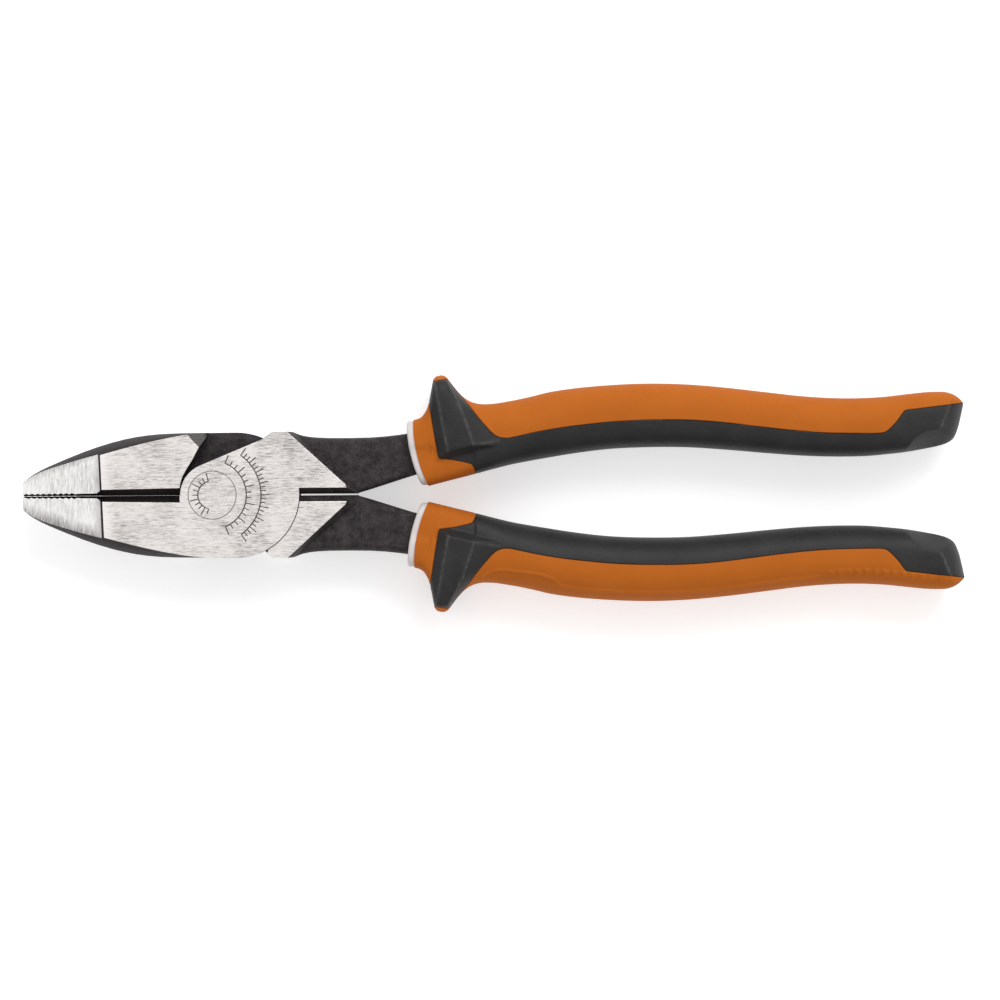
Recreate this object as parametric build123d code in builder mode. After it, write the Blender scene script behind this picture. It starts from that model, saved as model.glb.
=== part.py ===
from build123d import *
import os
from math import cos, radians, sin, sqrt, tan

# High-leverage lineman's pliers with two-tone insulated handles, closed.
#
# The frame: the origin is on the rivet's axis, in the ground back face of the head. +X runs from the rivet
# towards the handles, +Y towards the upper handle and +Z from the back face to the front face. Millimetres.
#
# The two forged halves are the same shape, turned half a turn about the tool's long centre line, so one half
# and one handle's insulation are modelled and the others are turned copies. Front half: lower jaw, front lap
# plate and upper handle. Rear half: upper jaw, rear lap plate and lower handle.

# ---- driving dimensions ----------------------------------------------------------------------------------
HEAD_T = 15.9  # thickness over the two ground faces, 5/8 inch
MID = HEAD_T / 2  # height of the plane where the two halves lap
TIP_X = -47.8  # nose end
BOSS_R = 8.05  # round boss of each lap plate, about the rivet
SLOPE = 22.6  # degrees, the straight edge from the boss to the shoulder of the head
LAP_CLEAR = 0.04  # each half's share of the running gap in the lap
JAW_CLEAR = 0.12  # gap between a plate's boss and the other jaw
SEAM_CLEAR = 0.2  # gap between a plate's round end and the handle root behind it
HANDLE_GAP = 0.2  # each shank's distance from the centre line

RIVET_R = 5.0
RIVET_HEAD_R = 6.04
RIVET_HEAD_H = 1.3  # depth of the conical head, flush with the ground face
RIVET_TIGHT = 0.02  # radial gap in the front half, which holds the rivet
RIVET_RUNNING = 0.06  # radial gap in the rear half, which turns on it

NOSE_X = -27.7  # the grinding shoulder behind the nose, on the centre line
NOSE_SKEW = 2.5  # degrees, the shoulder is not quite square to the tool
NOSE_STEP = 0.9  # height of that shoulder
NOSE_FOOT_R = 0.7  # round in its foot
NOSE_REACH = 22  # from the shoulder to past the tip
NOSE_TIP_DROP = 3.1  # how far the ground nose faces have fallen at the end of that reach
TOOTH_PITCH = 1.45
TOOTH_COUNT = 9
TOOTH_DEPTH = (0.05, 0.38)  # in the lap plane and at the ground faces
TOOTH_SLANT = TOOTH_PITCH / 4  # the grooves lean, so that crests face grooves at both sides of the jaws
FIRST_TOOTH_X = -47.4
CREST_Y = (0.02, 0.55)  # half the gap between facing tooth crests, in the lap plane and at the ground faces
FLAT_Y = (0.03, 0.7)  # the same between the flats behind the teeth
FLAT_END_Y = (0.045, 1.5)  # and at the flats' rear end
FLAT_RUN = 0.9  # length of the slopes at the ends of the flats
KNIFE_X0 = -28.2  # front end of the cutting knives
POCKET_Y0 = 1.5  # half the height of the relief beside the knives, at their front end
POCKET_Y1 = 1.83  # and at the boss
KNIFE_BEVEL_T = 3.2  # half the thickness of the knife where its bevels begin

SHANK_HALF_T = 5.5
SHANK_ROUND = 1.6
TANG_HALF_T = 4.0
TANG_END_X = 181.0
TANG_END_Y = (14.9, 20.6)  # inner and outer edge of the tang at its end
HANDLE_END_X = 189.5
COLLAR_INSET = 0.6  # the white collar is this much smaller than the cover
SLEEVE_T = 1.3  # white insulating layer round the tang
SLEEVE_COLLAR = 3.0  # depth of its collar at the front of the handle
LIP = 1.1  # how far the collar shows in front of the cover
FIT = 0.02  # moulded layers touch; this keeps the solids apart
GRIP_T = 2.2  # thickness of the soft grey overmould
GUARD_HALF_T = 11.2  # raised pad of the finger guard, from the lap plane
PAD_BASE_T = 7.5  # where the pad's sloping sides start, inside the handle
HORN_HALF_T = 8.6  # finger guard fin

MARK_DEPTH = 0.15  # engraved gauge marks: arcs about the rivet with radial ticks
MARK_W = 0.28
TICK = 1.3
LONG_TICK = 2.2  # every third tick
PLATE_MARKS = ((8.6, 16, 9.0), (12.3, 25, 4.5))  # radius, number of ticks, degrees between them
RIVET_MARK_R = 3.6
RIVET_MARK_COUNT = 11
RIVET_MARK_STEP = 15.0  # degrees

BEYOND = 40  # past the tool on every side, for cuts that run out of it

CENTRE_LINE = Axis((0, 0, MID), (1, 0, 0))  # the halves are turned copies about this line

# ---- outlines of the head, front half, seen from the front -----------------------------------------------
SEAM_C = (5.9, 0.2)  # round end of the front plate
SEAM_R = 16.0
OTHER_SEAM_C = (SEAM_C[0], -SEAM_C[1])  # round end of the rear half's plate
ROOT_Y = 1.72  # inner edge of the ground face at the handle root
PLATE_BOTTOM = (SEAM_C[0], SEAM_C[1] - SEAM_R)
SLOPE_END_X = 12.6  # where the straight edge from the boss reaches the shoulder
ROOT_X = 10  # front end of the handle root, hidden inside the plate
ROOT_CORE = (ROOT_X, 10)

# Lower jaw's outer edge where the forging is widest, and where its drafted sides reach the ground faces.
JAW_EDGE_MID = [(TIP_X, -3.7), (-40, -8.2), (-28, -12.75), (-16, -15.3), (-4, -15.75)]
JAW_EDGE_FACE = [(TIP_X, -3.1), (-40, -6.8), (-28, -10.3), (-16, -13.4), (-5, -15.4)]
JAW_LAND = 1.2  # half the thickness of the edge's flat land

JAW_SHOULDER = [(-7.0, -5.6), (-4.9, -9.0), (-3.3, -12.0), (-1.4, -15.0), (-1.1, -17.0)]
BEVEL_C = (7.5, 1.0)  # bevel round the plate's lapping side
BEVEL_R = 15.1
BEVEL_SLOPE = 0.45
BEVEL_W = 4  # enough to run out of the plate
# Ground corner of the jaw's shoulder: a point of its plane, a line of it in the face, a line down the slope.
CORNER = (-3.48, -12.19, 0)
CORNER_EDGE = (-2.72, -3.01, 0)
CORNER_FALL = (1.78, -2.75, 3.2)
SHOULDER = [(15.1, 15.9), (18.9, 15.9)]  # shoulder of the head above the seam's end, on the ground face
HEAD_BACK = (33.5, 2.5)  # rear corner of the ground face
SHANK_TOP = [(20.4, 15.75), (22.5, 14.95), (26, 14.4), (33, 14.2), (41, 14.35), (48, 15.05), (55, 16.3)]
SHANK_BOTTOM = [(55, 5.9), (50, 4.5), (44, 2.6), (40, 1.33), (37.5, 0.6), (36, HANDLE_GAP), (20, HANDLE_GAP)]

# ---- outlines of the upper handle ------------------------------------------------------------------------
TANG_INNER = [(50, 4.5), (70, 10.3), (90, 14.2), (112, 15.9), (135, 14.6), (158, 13.0)]
TANG_OUTER = [(158, 19.2), (135, 21.2), (112, 22.8), (90, 21.6), (70, 18.6), (50, 15.4)]

# Insulated handle: at stations along X, its inner edge, outer edge, half thickness and corner radius.
STATIONS = [
    (47.0, -0.5, 16.8, 9.0, 4.0),
    (57.0, 2.6, 19.9, 9.0, 4.5),
    (66.0, 4.9, 22.3, 8.8, 5.5),
    (75.0, 7.2, 23.3, 8.6, 6.0),
    (90.0, 9.8, 26.3, 8.7, 6.2),
    (110.0, 11.4, 27.5, 8.9, 6.4),
    (130.0, 10.6, 26.3, 8.8, 6.4),
    (150.0, 8.9, 23.9, 8.5, 6.2),
    (163.0, 8.7, 23.5, 8.5, 6.0),
    (176.0, 9.8, 24.5, 8.5, 5.5),
    (185.0, 11.9, 24.9, 8.1, 5.0),
    (189.5, 16.0, 22.6, 5.5, 2.8),
]
# Finger guard fin on the outer side of the handle.
HORN = [(53.3, 12.0), (53.1, 19.8), (54.7, 23.0), (55.8, 28.8), (56.7, 29.4), (59.2, 29.5), (61.7, 26.2)]
HORN_BACK = [(61.7, 26.2), (65.7, 22.9), (71.5, 22.3)]
# Raised pad of the finger guard, front and back.
PAD_BASE = [(56.9, 8.6), (54.9, 28.2), (61.0, 28.4), (71.5, 10.8)]
PAD_TOP = [(59.3, 11.0), (56.4, 26.6), (60.2, 26.9), (65.8, 12.3)]
# Soft grip, as far as its outer boundary: guard, long strip and end.
GRIP_GUARD_EDGE = [(59.4, 28.75), (61.5, 25.6), (64.5, 22.2), (70.9, 15.7), (73.3, 14.4)]
GRIP_STRIP_EDGE = [(73.3, 14.4), (90, 16.7), (112, 18.2), (135, 16.7), (152, 14.8), (169, 14.6)]
GRIP_END_EDGE = [(174.4, 20.2), (187, 21.7), (192, 22.0)]
GRIP_FRONT = [(192, -4), (66.4, -4), (65.1, 7.2), (60.1, 9.0), (56.6, 9.6), (54.6, 22.5)]
GRIP_TIP = (55.7, 28.2)

# Front edge of the insulation, bulging towards the head.
FRONT_EDGE = [(49.5, 18.3), (50.6, 9.6), (53.8, 1.0)]
FRONT_RUN = 1.5  # how far it goes on along X, down to its foot below the handle
FRONT_FOOT_Y = -6


def on_circle(centre, radius, degrees):
    """The point of a circle at an angle from +X."""
    return (centre[0] + radius * cos(radians(degrees)), centre[1] + radius * sin(radians(degrees)))


# Points where the plate's outline changes from one curve to the next.
boss_top = on_circle((0, 0), BOSS_R, 90 + SLOPE)
slope_end = (SLOPE_END_X, boss_top[1] + (SLOPE_END_X - boss_top[0]) * tan(radians(SLOPE)))
boss_foot = (-sqrt(BOSS_R**2 - POCKET_Y1**2), -POCKET_Y1)
seam_top = (SEAM_C[0] + sqrt(SEAM_R**2 - (ROOT_Y - SEAM_C[1]) ** 2), ROOT_Y)


# ---- forged half -----------------------------------------------------------------------------------------
# Lower jaw: a flat land along its edge, then drafted sides up to both ground faces.
with BuildPart() as jaw:
    for height, edge in (
        (0, JAW_EDGE_FACE),
        (MID - JAW_LAND, JAW_EDGE_MID),
        (MID + JAW_LAND, JAW_EDGE_MID),
        (HEAD_T, JAW_EDGE_FACE),
    ):
        with BuildSketch(Plane.XY.offset(height)):
            with BuildLine():
                outer_edge = Spline(*edge, PLATE_BOTTOM, tangents=((1, -0.95), (1, 0)))
                Polyline(PLATE_BOTTOM, (SEAM_C[0], 0), (TIP_X, 0), outer_edge @ 0)
            make_face()
    loft(ruled=True)

# Handle root: ground faces, and flanks that slope down to the thinner shank.
with BuildPart() as root:
    ground = [ROOT_CORE, slope_end, *SHOULDER, HEAD_BACK, (33.8, ROOT_Y), (ROOT_X, ROOT_Y)]
    foot_back = [(36.3, 2.4), (36.6, HANDLE_GAP), (ROOT_X, HANDLE_GAP)]
    foot = [ROOT_CORE, slope_end, (15.1, 15.85), SHANK_TOP[0], *foot_back]
    for height, outline in (
        (0, ground),
        (MID - SHANK_HALF_T, foot),
        (MID + SHANK_HALF_T, foot),
        (HEAD_T, ground),
    ):
        with BuildSketch(Plane.XY.offset(height)):
            with BuildLine():
                Polyline(*outline, close=True)
            make_face()
    loft(ruled=True)

# Shank between the head and the insulation, with rounded edges.
with BuildPart() as shank:
    with BuildSketch(Plane.XY.offset(MID)):
        with BuildLine():
            Spline(*SHANK_TOP)
            Polyline(SHANK_TOP[-1], *SHANK_BOTTOM, SHANK_TOP[0])
        make_face()
    extrude(amount=SHANK_HALF_T, both=True)
    fillet(shank.faces().filter_by(Axis.Z).edges(), SHANK_ROUND)


# Tang: the flat bar inside the insulation.
def tang_bar(grow):
    """The tang, or the room for it when grown on all sides."""
    with BuildPart() as bar:
        with BuildSketch(Plane.XY.offset(MID)):
            with BuildLine():
                end_inner = (TANG_END_X + grow, TANG_END_Y[0] - grow)
                end_outer = (TANG_END_X + grow, TANG_END_Y[1] + grow)
                inner = Spline(*((x, y - grow) for x, y in TANG_INNER), end_inner)
                outer = Spline(end_outer, *((x, y + grow) for x, y in TANG_OUTER))
                Line(inner @ 1, outer @ 0)
                Line(outer @ 1, inner @ 0)
            make_face()
        extrude(amount=TANG_HALF_T + grow, both=True)
    return bar.part


# Room that each half leaves for the other's lap plate: open on the side where that plate's edge swings.
with BuildSketch() as plate_room:
    far = SEAM_R + SEAM_CLEAR
    near = BOSS_R + JAW_CLEAR
    with BuildLine():
        Spline((-near, -1.9), *JAW_SHOULDER)
        Polyline((-near, -1.9), (-near, BEYOND), (9, BEYOND), on_circle(OTHER_SEAM_C, far, 60))
        seam_round = ThreePointArc(*(on_circle(OTHER_SEAM_C, far, angle) for angle in (60, 30, 0)))
        below = [((seam_round @ 1).X, -BEYOND), (JAW_SHOULDER[-1][0], -BEYOND)]
        Polyline(seam_round @ 1, *below, JAW_SHOULDER[-1])
    make_face()

# Bevel round the lapping side of the plate, where it shows beside the other jaw.
with BuildPart() as lap_bevel:
    with BuildSketch(Plane(origin=(*BEVEL_C, MID), x_dir=(1, 0, 0), z_dir=(0, -1, 0))):
        with BuildLine():
            rim = BEVEL_R + BEVEL_W
            Polyline((BEVEL_R, 0), (rim, 0), (rim, BEVEL_W * BEVEL_SLOPE), close=True)
        make_face()
    revolve(axis=Axis((*BEVEL_C, MID), (0, 0, 1)))
    extrude(plate_room.sketch, amount=HEAD_T, mode=Mode.INTERSECT)

corner_edge = Vector(*CORNER_EDGE)
corner_plane = Plane(origin=CORNER, x_dir=corner_edge, z_dir=Vector(*CORNER_FALL).cross(corner_edge))


def mouth_outline(height):
    """Outline of the gap between the jaws at a height. It is narrowest in the lap plane."""
    opening = abs(height - MID) / MID
    sizes = (CREST_Y, TOOTH_DEPTH, FLAT_Y, FLAT_END_Y)
    crest, depth, flat, end = (low + (high - low) * opening for low, high in sizes)
    first = FIRST_TOOTH_X + TOOTH_SLANT * (height - MID) / MID
    points = [(TIP_X - 1, 1), (TIP_X - 1, -crest)]
    for tooth in range(TOOTH_COUNT):
        left = first + TOOTH_PITCH * tooth
        points += [(left, -crest), (left + TOOTH_PITCH / 2, -crest - depth)]
    teeth_end = first + TOOTH_PITCH * TOOTH_COUNT
    points += [(teeth_end, -crest), (teeth_end + FLAT_RUN, -flat), (KNIFE_X0 - FLAT_RUN, -flat)]
    return points + [(KNIFE_X0, -end), (KNIFE_X0, 1)]


with BuildPart() as forging:
    add(jaw.part)
    add(root.part)
    add(shank.part)

    # Lap plate, in the front layer.
    with BuildSketch(Plane.XY.offset(MID)):
        with BuildLine():
            Line((boss_foot[0], -12), boss_foot)
            ThreePointArc(boss_foot, (-BOSS_R, 0), boss_top)
            Polyline(boss_top, slope_end, SHOULDER[0], (24, 11), (24, ROOT_Y), seam_top)
            ThreePointArc(seam_top, on_circle(SEAM_C, SEAM_R, -40), PLATE_BOTTOM)
            Line(PLATE_BOTTOM, (boss_foot[0], -12))
        make_face()
    extrude(amount=MID)

    # Room for the rear half's lap plate, in the rear layer.
    extrude(plate_room.sketch, amount=MID + LAP_CLEAR, mode=Mode.SUBTRACT)
    add(lap_bevel.part, mode=Mode.SUBTRACT)
    with BuildSketch(corner_plane):
        Rectangle(10, 10)
    extrude(amount=6, mode=Mode.SUBTRACT)

    # Cutting knife: relief on both sides, bevelled up to an edge in the lap plane.
    for knife_x, depth in ((KNIFE_X0, POCKET_Y0), (-BOSS_R - JAW_CLEAR, POCKET_Y1)):
        with BuildSketch(Plane.YZ.offset(knife_x)):
            with BuildLine():
                Polyline(
                    (1, -1),
                    (-depth, -1),
                    (-depth, MID - KNIFE_BEVEL_T),
                    (-FIT, MID),
                    (-depth, MID + KNIFE_BEVEL_T),
                    (-depth, HEAD_T + 1),
                    (1, HEAD_T + 1),
                    close=True,
                )
            make_face()
    loft(ruled=True, mode=Mode.SUBTRACT)

    # Gripping teeth and the flats behind them, opening into the knife relief.
    for height in (-1, MID, HEAD_T + 1):
        with BuildSketch(Plane.XY.offset(height)):
            with BuildLine():
                Polyline(*mouth_outline(height), close=True)
            make_face()
    loft(ruled=True, mode=Mode.SUBTRACT)

    # Ground nose, front and back: a shoulder with a rounded foot, then a flat falling to the tip.
    for side, skew in ((1, NOSE_SKEW), (-1, -NOSE_SKEW)):
        nose_plane = Plane(
            origin=(NOSE_X, 0, MID),
            x_dir=(-cos(radians(skew)), -sin(radians(skew)), 0),
            z_dir=(sin(radians(skew)), -cos(radians(skew)), 0),
        )
        up = side if nose_plane.y_dir.Z > 0 else -side
        with BuildSketch(nose_plane):
            with BuildLine():
                top = up * (MID + 1)
                step = up * (MID - NOSE_STEP)
                tip = up * (MID - NOSE_TIP_DROP)
                foot_top = (0, up * (MID - NOSE_STEP + NOSE_FOOT_R))
                foot_end = (NOSE_FOOT_R, step)
                Polyline(foot_top, (0, top), (NOSE_REACH, top), (NOSE_REACH, tip), foot_end)
                TangentArc(foot_top, foot_end, tangent=(0, -up))
            make_face()
        extrude(amount=BEYOND, both=True, mode=Mode.SUBTRACT)

    add(tang_bar(0))


def rivet_profile(gap):
    """Half section of the rivet, grown by a gap, as points (radius, height)."""
    flank = RIVET_R + gap
    rim = RIVET_HEAD_R + gap
    lower_head = [(0, 0), (rim, 0), (flank, RIVET_HEAD_H)]
    upper_head = [(flank, HEAD_T - RIVET_HEAD_H), (rim, HEAD_T), (0, HEAD_T)]
    return lower_head + upper_head


def gauge_marks(radius, count, step, middle=0.0):
    """Sketch of an arc about the rivet with ticks outside it, spread on both sides of a middle angle."""
    sweep = step * (count - 1)
    with BuildSketch(Plane.XY.offset(HEAD_T)) as marks:
        for index in range(count):
            length = TICK if index % 3 else LONG_TICK
            with PolarLocations(radius + length / 2, 1, start_angle=middle - sweep / 2 + step * index):
                Rectangle(length, MARK_W)
        with BuildLine():
            CenterArc((0, 0), radius, middle - sweep / 2, sweep)
        trace(line_width=MARK_W)
    return marks.sketch


with BuildPart() as rivet:
    with BuildSketch(Plane.XZ):
        with BuildLine():
            Polyline(*rivet_profile(0), close=True)
        make_face()
    revolve(axis=Axis.Z)
    extrude(
        gauge_marks(RIVET_MARK_R, RIVET_MARK_COUNT, RIVET_MARK_STEP, middle=180),
        amount=-MARK_DEPTH,
        mode=Mode.SUBTRACT,
    )

with BuildPart() as front_half:
    add(forging.part)
    with BuildSketch(Plane.XZ):
        with BuildLine():
            Polyline(*rivet_profile(RIVET_TIGHT), close=True)
        make_face()
    revolve(axis=Axis.Z, mode=Mode.SUBTRACT)
    for radius, count, step in PLATE_MARKS:
        extrude(gauge_marks(radius, count, step), amount=-MARK_DEPTH, mode=Mode.SUBTRACT)

with BuildPart() as rear_half:
    add(forging.part.rotate(CENTRE_LINE, 180))
    with BuildSketch(Plane.XZ):
        with BuildLine():
            Polyline(*rivet_profile(RIVET_RUNNING), close=True)
        make_face()
    revolve(axis=Axis.Z, mode=Mode.SUBTRACT)


# ---- insulated handle ------------------------------------------------------------------------------------
def handle_body(inset):
    """Solid of the handle's outside through its stations, all its faces moved in by an inset."""
    with BuildPart() as body:
        for x, inner, outer, half_t, corner in STATIONS:
            with BuildSketch(Plane(origin=(x, (inner + outer) / 2, MID), x_dir=(0, 1, 0), z_dir=(1, 0, 0))):
                RectangleRounded(outer - inner - 2 * inset, 2 * (half_t - inset), corner - inset)
        loft()
        split(bisect_by=Plane.YZ.offset(HANDLE_END_X - inset), keep=Keep.BOTTOM)
    return body.part


def horn_fin(half_t):
    """Finger-guard fin on the outer side of the handle."""
    with BuildPart() as fin:
        with BuildSketch(Plane.XY.offset(MID)):
            with BuildLine():
                Polyline(*HORN)
                Spline(*HORN_BACK)
                Polyline(HORN_BACK[-1], (HORN_BACK[-1][0], HORN[0][1]), HORN[0])
            make_face()
        extrude(amount=half_t, both=True)
    return fin.part


def behind_front_edge(shift, depth):
    """Slab that starts at the handle's front edge, moved back by a shift."""
    with BuildPart() as slab:
        with BuildSketch():
            with BuildLine():
                front = ThreePointArc(*((x + shift, y) for x, y in FRONT_EDGE))
                top = FRONT_EDGE[0][0] + shift
                bottom = FRONT_EDGE[-1][0] + shift + FRONT_RUN
                back = [(top + depth, BEYOND), (bottom + depth, FRONT_FOOT_Y)]
                Polyline(front @ 0, (top, BEYOND), *back, (bottom, FRONT_FOOT_Y), front @ 1)
            make_face()
        extrude(amount=BEYOND, both=True)
    return slab.part


def grip_region(grow):
    """Prism of everything inside the grey grip's outline."""
    with BuildPart() as region:
        with BuildSketch():
            with BuildLine():
                guard_edge = Spline(*((x, y + grow) for x, y in GRIP_GUARD_EDGE))
                strip_edge = Spline(*((x, y + grow) for x, y in GRIP_STRIP_EDGE))
                end_edge = [(x, y + grow) for x, y in GRIP_END_EDGE]
                front_edge = [(x - grow, y - grow) for x, y in GRIP_FRONT]
                tip = (GRIP_TIP[0] - grow, GRIP_TIP[1] + grow)
                Polyline(strip_edge @ 1, *end_edge, *front_edge, tip, guard_edge @ 0)
            make_face()
        extrude(amount=BEYOND, both=True)
    return region.part


# Outside of the whole handle: body, finger-guard fin and the guard's raised pads.
with BuildPart() as handle_blank:
    add(handle_body(0))
    add(horn_fin(HORN_HALF_T))
    for side in (1, -1):
        for outline, height in ((PAD_BASE, PAD_BASE_T), (PAD_TOP, GUARD_HALF_T)):
            with BuildSketch(Plane.XY.offset(MID + side * height)):
                with BuildLine():
                    Polyline(*outline, close=True)
                make_face()
        loft(ruled=True)

# Room for the steel inside the insulation.
with BuildPart() as steel_room:
    add(tang_bar(FIT))
    with BuildSketch(Plane.XY.offset(MID)):
        with BuildLine():
            upper_edge = Spline(*((x + FIT, y + FIT) for x, y in SHANK_TOP))
            Polyline(upper_edge @ 1, *((x + FIT, y - FIT) for x, y in SHANK_BOTTOM), upper_edge @ 0)
        make_face()
    extrude(amount=SHANK_HALF_T + FIT, both=True)

with BuildPart() as upper_inner_sleeve:
    add(handle_body(COLLAR_INSET))
    add(behind_front_edge(0, SLEEVE_COLLAR), mode=Mode.INTERSECT)
    add(tang_bar(SLEEVE_T))
    add(steel_room.part, mode=Mode.SUBTRACT)

with BuildPart() as sleeve_room:
    add(handle_body(COLLAR_INSET - FIT))
    add(behind_front_edge(0, SLEEVE_COLLAR + FIT), mode=Mode.INTERSECT)
    add(tang_bar(SLEEVE_T + FIT))

with BuildPart() as upper_grip:
    add(handle_blank.part)
    add(grip_region(0), mode=Mode.INTERSECT)
    add(handle_body(GRIP_T), mode=Mode.SUBTRACT)
    add(horn_fin(HORN_HALF_T - GRIP_T), mode=Mode.SUBTRACT)
    add(sleeve_room.part, mode=Mode.SUBTRACT)

with BuildPart() as grip_room:
    add(grip_region(FIT))
    add(handle_body(GRIP_T + FIT), mode=Mode.SUBTRACT)
    add(horn_fin(HORN_HALF_T - GRIP_T - FIT), mode=Mode.SUBTRACT)

with BuildPart() as upper_cover:
    add(handle_blank.part)
    add(behind_front_edge(LIP, HANDLE_END_X), mode=Mode.INTERSECT)
    add(sleeve_room.part, mode=Mode.SUBTRACT)
    add(steel_room.part, mode=Mode.SUBTRACT)
    add(grip_room.part, mode=Mode.SUBTRACT)

with BuildPart() as lower_inner_sleeve:
    add(upper_inner_sleeve.part.rotate(CENTRE_LINE, 180))

with BuildPart() as lower_cover:
    add(upper_cover.part.rotate(CENTRE_LINE, 180))

with BuildPart() as lower_grip:
    add(upper_grip.part.rotate(CENTRE_LINE, 180))

front_half.part.label = "front_half"
rear_half.part.label = "rear_half"
rivet.part.label = "rivet"
upper_inner_sleeve.part.label = "upper_inner_sleeve"
lower_inner_sleeve.part.label = "lower_inner_sleeve"
upper_cover.part.label = "upper_cover"
lower_cover.part.label = "lower_cover"
upper_grip.part.label = "upper_grip"
lower_grip.part.label = "lower_grip"

# ---- write -----------------------------------------------------------------------------------------------
pieces = (
    front_half,
    rear_half,
    rivet,
    upper_inner_sleeve,
    lower_inner_sleeve,
    upper_cover,
    lower_cover,
    upper_grip,
    lower_grip,
)
os.makedirs("parts", exist_ok=True)
for piece in pieces:
    export_step(piece.part, f"parts/{piece.part.label}.step")
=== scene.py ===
"""Looks of the lineman's pliers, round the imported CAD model.

The forged halves and the rivet are the CAD solids with procedural steel. The handles' soft and moulded
layers are built here: one dense skin per handle, cut along the seam between the orange cover and the grey
grip, and a white collar with the tube behind it. Shapes are worked out in millimetres (x along the tool, y
away from its centre line, z from the lap plane) and become metres when a mesh is made.
"""

import math

import bmesh
import bpy
import numpy as np
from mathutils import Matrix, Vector


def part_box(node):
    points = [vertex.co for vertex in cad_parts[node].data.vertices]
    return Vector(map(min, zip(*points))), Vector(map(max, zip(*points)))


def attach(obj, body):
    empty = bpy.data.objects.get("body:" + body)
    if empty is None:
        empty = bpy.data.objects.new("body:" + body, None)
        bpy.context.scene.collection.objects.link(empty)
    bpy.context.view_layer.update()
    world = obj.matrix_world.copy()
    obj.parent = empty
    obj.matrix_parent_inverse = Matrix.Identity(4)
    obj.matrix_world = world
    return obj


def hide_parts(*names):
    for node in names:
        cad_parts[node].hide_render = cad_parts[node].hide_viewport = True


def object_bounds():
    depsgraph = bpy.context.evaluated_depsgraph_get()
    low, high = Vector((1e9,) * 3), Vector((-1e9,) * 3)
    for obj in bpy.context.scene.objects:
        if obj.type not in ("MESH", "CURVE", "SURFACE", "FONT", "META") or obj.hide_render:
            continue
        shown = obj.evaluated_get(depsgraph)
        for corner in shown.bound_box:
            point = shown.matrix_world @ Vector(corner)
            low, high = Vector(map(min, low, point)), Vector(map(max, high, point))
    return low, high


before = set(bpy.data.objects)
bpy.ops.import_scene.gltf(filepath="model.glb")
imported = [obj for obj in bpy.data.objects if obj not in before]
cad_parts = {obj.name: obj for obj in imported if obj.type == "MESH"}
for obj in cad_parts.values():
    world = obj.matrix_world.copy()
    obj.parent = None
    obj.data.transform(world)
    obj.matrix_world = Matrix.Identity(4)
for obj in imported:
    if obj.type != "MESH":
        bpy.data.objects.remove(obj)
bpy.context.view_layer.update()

MM = 0.001
rivet_low, rivet_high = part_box("rivet")
HEAD_T = (rivet_high.z - rivet_low.z) / MM  # thickness over the ground faces
MID = HEAD_T / 2  # height of the lap plane
RIVET_HEAD_R = (rivet_high.x - rivet_low.x) / 2 / MM

# ---- shape of a handle, upper one, in millimetres ---------------------------------------------------------
OUTER = [  # outer edge, seen from the front
    (48.0, 17.9), (49.6, 18.4), (51.2, 18.75), (52.3, 19.15), (53.1, 19.8), (53.8, 20.9), (54.4, 22.3),
    (54.9, 24.5), (55.3, 26.8), (55.6, 28.4), (56.1, 29.3), (57.0, 29.75), (58.1, 29.85), (59.0, 29.45),
    (60.0, 28.2), (61.8, 25.9), (63.4, 24.3), (65.2, 23.2), (67.6, 22.6), (70.0, 22.6), (75.0, 23.3),
    (80.0, 24.3), (85.0, 25.5), (90.0, 26.25), (100.0, 27.15), (110.0, 27.5), (120.0, 27.2), (130.0, 26.3),
    (140.0, 25.1), (150.0, 23.95), (160.0, 23.45), (170.0, 23.8), (175.0, 24.35), (180.0, 24.85),
    (183.0, 24.95), (185.0, 24.85), (186.2, 24.55), (187.3, 24.05), (188.3, 23.35), (189.2, 22.5),
    (190.2, 21.3),
]
INNER = [  # inner edge
    (48.0, 0.5), (54.0, 1.9), (60.0, 3.4), (66.0, 4.9), (70.0, 5.95), (75.0, 7.2), (80.0, 8.15), (85.0, 9.0),
    (90.0, 9.8), (100.0, 11.0), (110.0, 11.4), (120.0, 11.3), (130.0, 10.6), (140.0, 9.7), (150.0, 8.95),
    (160.0, 8.7), (165.0, 8.8), (170.0, 9.2), (175.0, 9.75), (180.0, 10.6), (183.0, 11.2), (185.0, 11.8),
    (186.2, 12.4), (187.0, 13.1), (187.6, 14.1), (188.0, 15.1), (189.0, 18.0),
]
HALF_T = [  # half thickness of the handle's body
    (48, 9.0), (60, 9.0), (66, 8.8), (75, 8.5), (90, 8.7), (110, 8.9), (130, 8.8), (150, 8.5), (165, 8.4),
    (180, 8.5), (190, 8.4),
]
SQUARENESS = [  # exponent of the section's superellipse: 2 is round, more is squarer
    (48, 5.0), (60, 5.0), (66, 3.6), (74, 2.5), (100, 2.35), (150, 2.35), (170, 2.5), (182, 3.2), (190, 3.4),
]

FRONT_EDGE = [(50.7, 18.6), (51.6, 9.8), (54.7, 1.3)]  # front edge of the cover, bulging towards the head
FRONT_X = 50.7
BEND_END = 62.0  # sections are square to the tool from here on
BEND_FADE = 1.3  # how quickly the bend dies out towards there
BEND_PASSES = 12  # x and y of a bent section depend on each other, so they are found in passes
COLLAR_LIP = 1.65  # how far the white collar shows in front of the cover
COLLAR_INSET = 0.25  # how much smaller than the cover it is, all round

# Flat top of the finger guard's raised pad, and how steeply each of its sides falls away.
PAD = [(59.3, 10.6), (65.9, 12.2), (62.9, 21.0), (59.5, 28.2), (56.1, 28.0)]
PAD_T = 11.1
PAD_SLOPES = (1.5, 0.42, 0.5, 1.0, 0.8)
UNDERCUT = 0.6  # the guard's inner foot lies this much lower than the grip behind it
UNDERCUT_X = (66.6, 65.7)
UNDERCUT_Y = (12.6, 10.6)

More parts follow.
